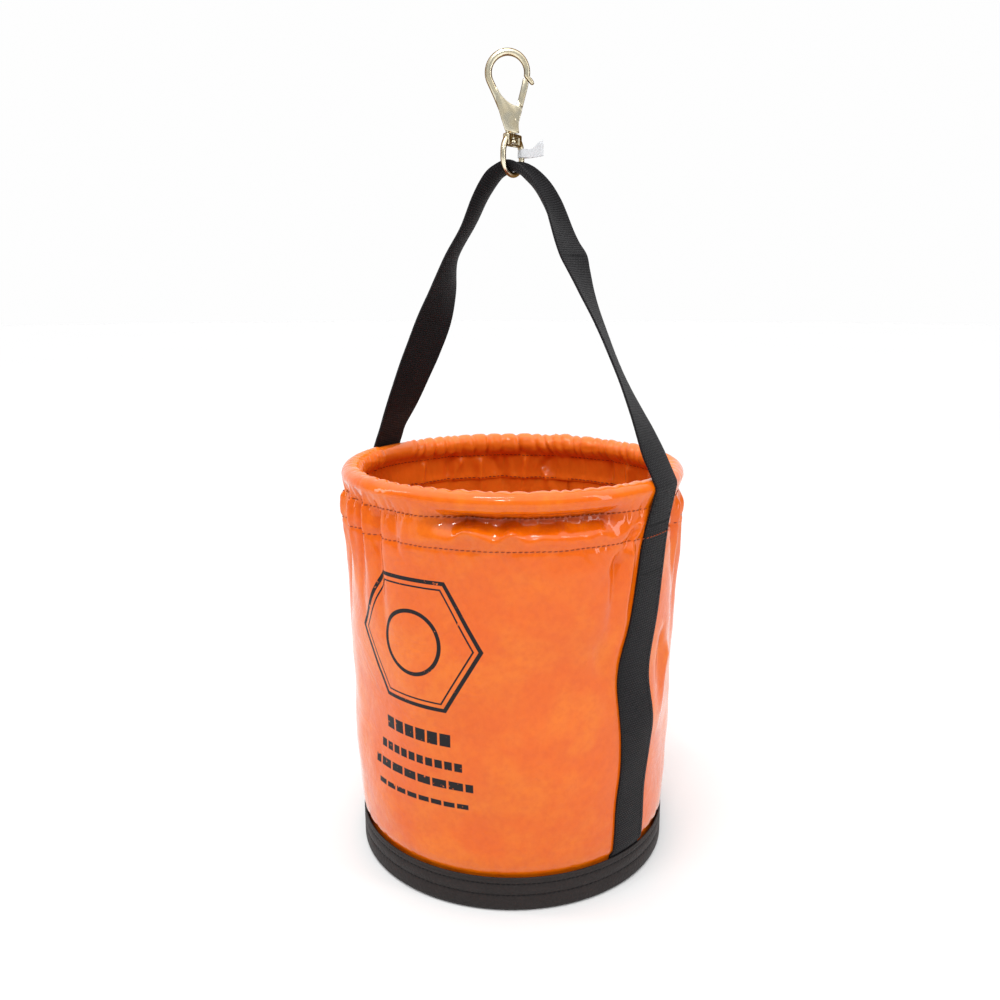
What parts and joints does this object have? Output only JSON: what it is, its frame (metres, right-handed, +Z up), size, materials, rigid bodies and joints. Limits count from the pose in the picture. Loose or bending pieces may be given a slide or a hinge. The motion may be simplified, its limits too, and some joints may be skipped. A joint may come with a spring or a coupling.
{
  "type": "tool bucket organizer",
  "caption": "Round straight-wall lift bucket of coated fabric with a hooped mouth, moulded base, webbing sling and swivel snap, for carrying tools aloft.",
  "frame": {"origin": "middle of the base's underside, on the surface the bucket stands on", "axes": "+Z up the bucket's axis, +X and -X to the two places where the sling is sewn on"},
  "size_m": [0.3136, 0.309, 0.7166],
  "materials": {
    "orange_vinyl": "semi-gloss coated fabric",
    "orange_thread": "matt twisted thread",
    "black_moulding": "pebbled, matt",
    "black_webbing": "ribbed weave, matt",
    "black_thread": "matt twisted thread",
    "floor_board": "smooth, satin",
    "bronze": "tumbled cast bronze, bright",
    "spring_steel": "plain",
    "tag_paper": "matt woven paper"
  },
  "bodies": {
    "bucket": {"base_cup": "black_moulding", "webbing_under_floor": "black_webbing", "floor_panel": "floor_board", "wall_panel": "orange_vinyl", "rim_casing": "orange_vinyl", "rim_hoop": "black_moulding", "side_webbing_right": "black_webbing", "side_webbing_left": "black_webbing", "rim_stitch_upper": "orange_thread", "rim_stitch_lower": "orange_thread", "base_stitch_upper": "black_thread", "base_stitch_lower": "black_thread", "bar_tack_upper_right": "black_thread", "bar_tack_lower_right": "black_thread", "bar_tack_upper_left": "black_thread", "bar_tack_lower_left": "black_thread"},
    "handle": {"handle_webbing": "black_webbing", "splice_tack": "black_thread"},
    "eye": {"swivel_eye": "bronze"},
    "tag": {"tag": "tag_paper"},
    "hook": {"snap_hook": "bronze", "gate_pin": "bronze"},
    "gate": {"gate": "bronze", "gate_spring": "spring_steel"}
  },
  "joints": [
    {"name": "handle_swing", "type": "hinge", "parent": "bucket", "child": "handle", "pos_m": [0, 0, 0.386], "axis": [1, 0, 0], "range_deg": [-70, 70]},
    {"name": "eye_tilt", "type": "hinge", "parent": "handle", "child": "eye", "pos_m": [0, 0, 0.6141], "axis": [0, 1, 0], "range_deg": [-32, 32]},
    {"name": "tag_turn", "type": "hinge", "parent": "eye", "child": "tag", "pos_m": [0, 0.0141, 0.633], "axis": [0, 0, 1], "range_deg": [-50, 110]},
    {"name": "hook_swivel", "type": "hinge", "parent": "eye", "child": "hook", "pos_m": [0, 0, 0.6474], "axis": [0, 0, 1], "continuous": true},
    {"name": "gate_hinge", "type": "hinge", "parent": "hook", "child": "gate", "pos_m": [0.00215, 0.00145, 0.658], "axis": [0.5592, -0.829, 0], "range_deg": [0, 28], "stiffness_Nm_per_rad": 0.05, "springref_deg": -20.05}
  ]
}
